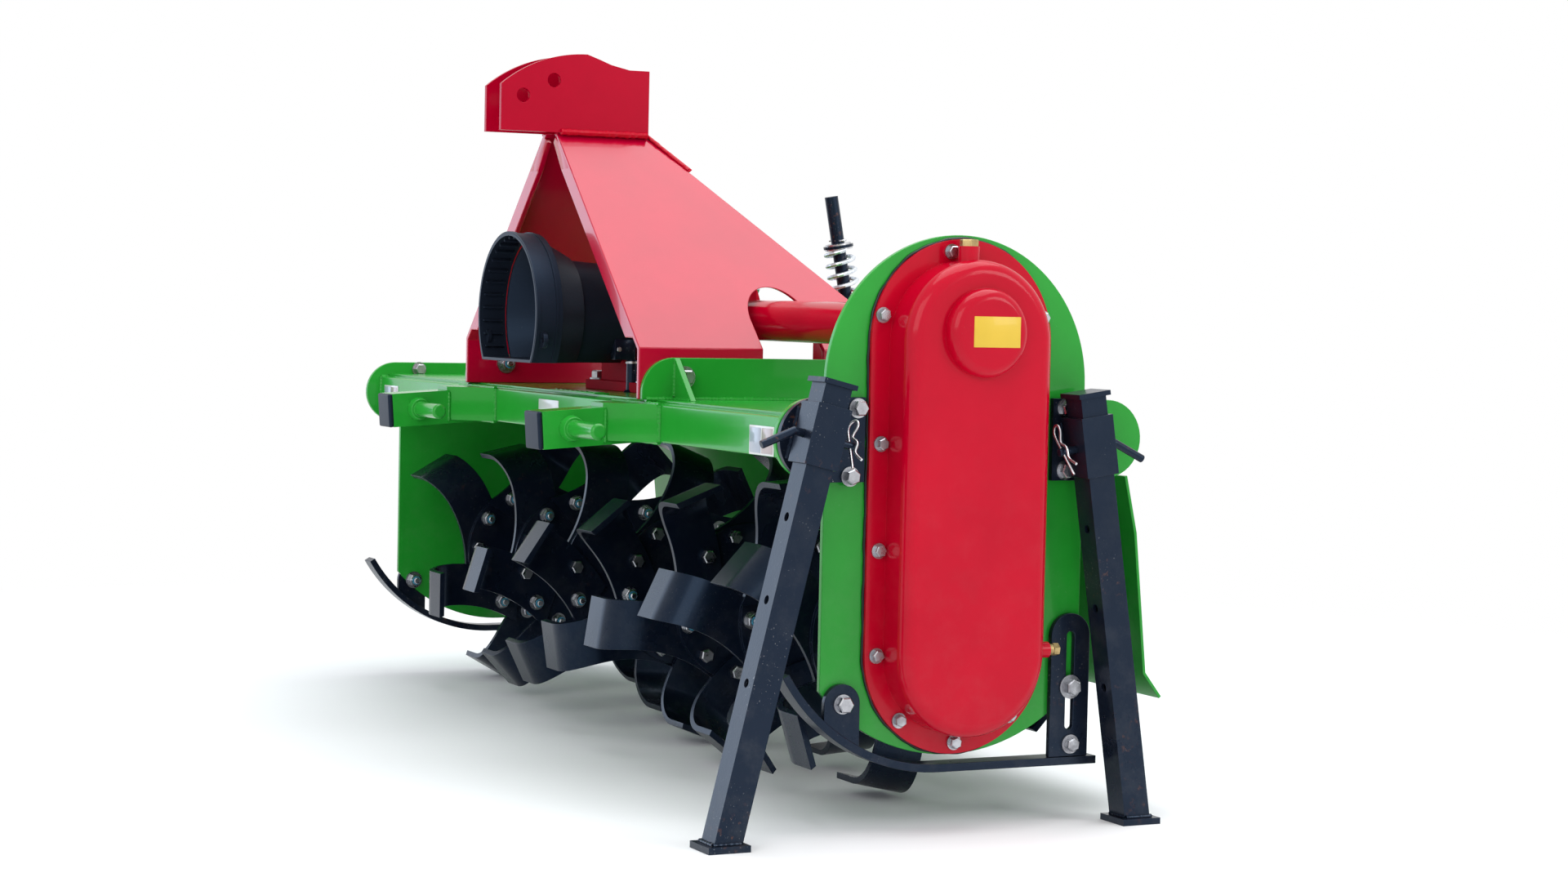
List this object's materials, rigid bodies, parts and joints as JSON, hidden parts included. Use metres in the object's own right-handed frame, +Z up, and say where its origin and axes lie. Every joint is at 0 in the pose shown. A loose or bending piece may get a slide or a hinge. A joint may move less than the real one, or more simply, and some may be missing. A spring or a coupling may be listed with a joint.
{
  "type": "tractor-mounted rotavator",
  "caption": "Tractor-mounted rotary tiller with a side chain case, a leaning A-frame hitch, a shafted gearbox, a tined rotor, skids, a sprung tailboard and sliding parking legs",
  "frame": {"origin": "on the ground, under the middle of the machine's box", "axes": "+X across the machine towards the chain case, -Y towards the tractor, +Z up"},
  "size_m": [1.689, 0.6963, 0.9851],
  "materials": {
    "green_paint": "gloss",
    "red_paint": "gloss",
    "black_paint": "satin",
    "black_plastic": "matte",
    "sealant": "satin",
    "brass": "satin",
    "bright_steel": "satin",
    "zinc": "satin"
  },
  "bodies": {
    "frame": {"front_beam": "green_paint", "rear_beam": "green_paint", "deck": "green_paint", "end_plates": "green_paint", "chain_plate": "green_paint", "side_plate_right": "green_paint", "hitch_arm_left": "green_paint", "hitch_arm_right": "green_paint", "hitch_pin_left": "green_paint", "hitch_pin_right": "green_paint", "headstock_bracket_left": "green_paint", "headstock_bracket_right": "green_paint", "tail_hinges": "green_paint", "headstock_plate_left": "red_paint", "headstock_plate_right": "red_paint", "headstock_tie": "red_paint", "top_link_plates": "red_paint", "gearbox": "red_paint", "drive_tube": "red_paint", "chain_cover": "red_paint", "tail_rod_guide": "red_paint", "skid_left": "black_paint", "skid_right": "black_paint", "skid_adjusters": "black_paint", "stand_bracket_front": "black_paint", "stand_bracket_rear": "black_paint", "rotor_bearing": "black_paint", "stand_pins": "black_paint", "arm_caps": "black_plastic", "input_guard": "black_plastic", "sealing_bead": "sealant", "oil_plugs": "brass"},
    "rotor": {"rotor_shaft": "black_paint", "tine_gang_1": "black_paint", "tine_gang_2": "black_paint", "tine_gang_3": "black_paint", "tine_gang_4": "black_paint", "tine_gang_5": "black_paint", "tine_gang_6": "black_paint", "tine_gang_7": "black_paint"},
    "input": {"input_shaft": "bright_steel"},
    "tail": {"tailboard": "green_paint"},
    "rod": {"tail_rod": "black_paint", "tail_spring": "zinc"},
    "front_leg": {"leg_front": "black_paint"},
    "rear_leg": {"leg_rear": "black_paint"}
  },
  "joints": [
    {"name": "rotor_spin", "type": "hinge", "parent": "frame", "child": "rotor", "pos_m": [-0.0295, 0.02216, 0.21706], "axis": [1, 0, 0], "continuous": true},
    {"name": "input_spin", "type": "hinge", "parent": "frame", "child": "input", "pos_m": [-0.0295, -0.16784, 0.614], "axis": [0, -1, 0], "continuous": true},
    {"name": "tail_lift", "type": "hinge", "parent": "frame", "child": "tail", "pos_m": [-0.0295, 0.27916, 0.444], "axis": [1, 0, 0], "range_deg": [0, 50]},
    {"name": "rod_pivot", "type": "hinge", "parent": "tail", "child": "rod", "pos_m": [-0.0295, 0.33216, 0.33], "axis": [1, 0, 0], "range_deg": [-31.98, 0]},
    {"name": "front_leg_slide", "type": "slide", "parent": "frame", "child": "front_leg", "axis": [0, 0.2385, 0.9711], "range_m": [0, 0.25]},
    {"name": "rear_leg_slide", "type": "slide", "parent": "frame", "child": "rear_leg", "axis": [0, -0.1513, 0.9885], "range_m": [0, 0.25]}
  ],
  "couplings": [
    {"joint": "input_spin", "follows": "rotor_spin", "ratio": 2.57},
    {"joint": "rod_pivot", "follows": "tail_lift", "ratio": -0.6396}
  ]
}
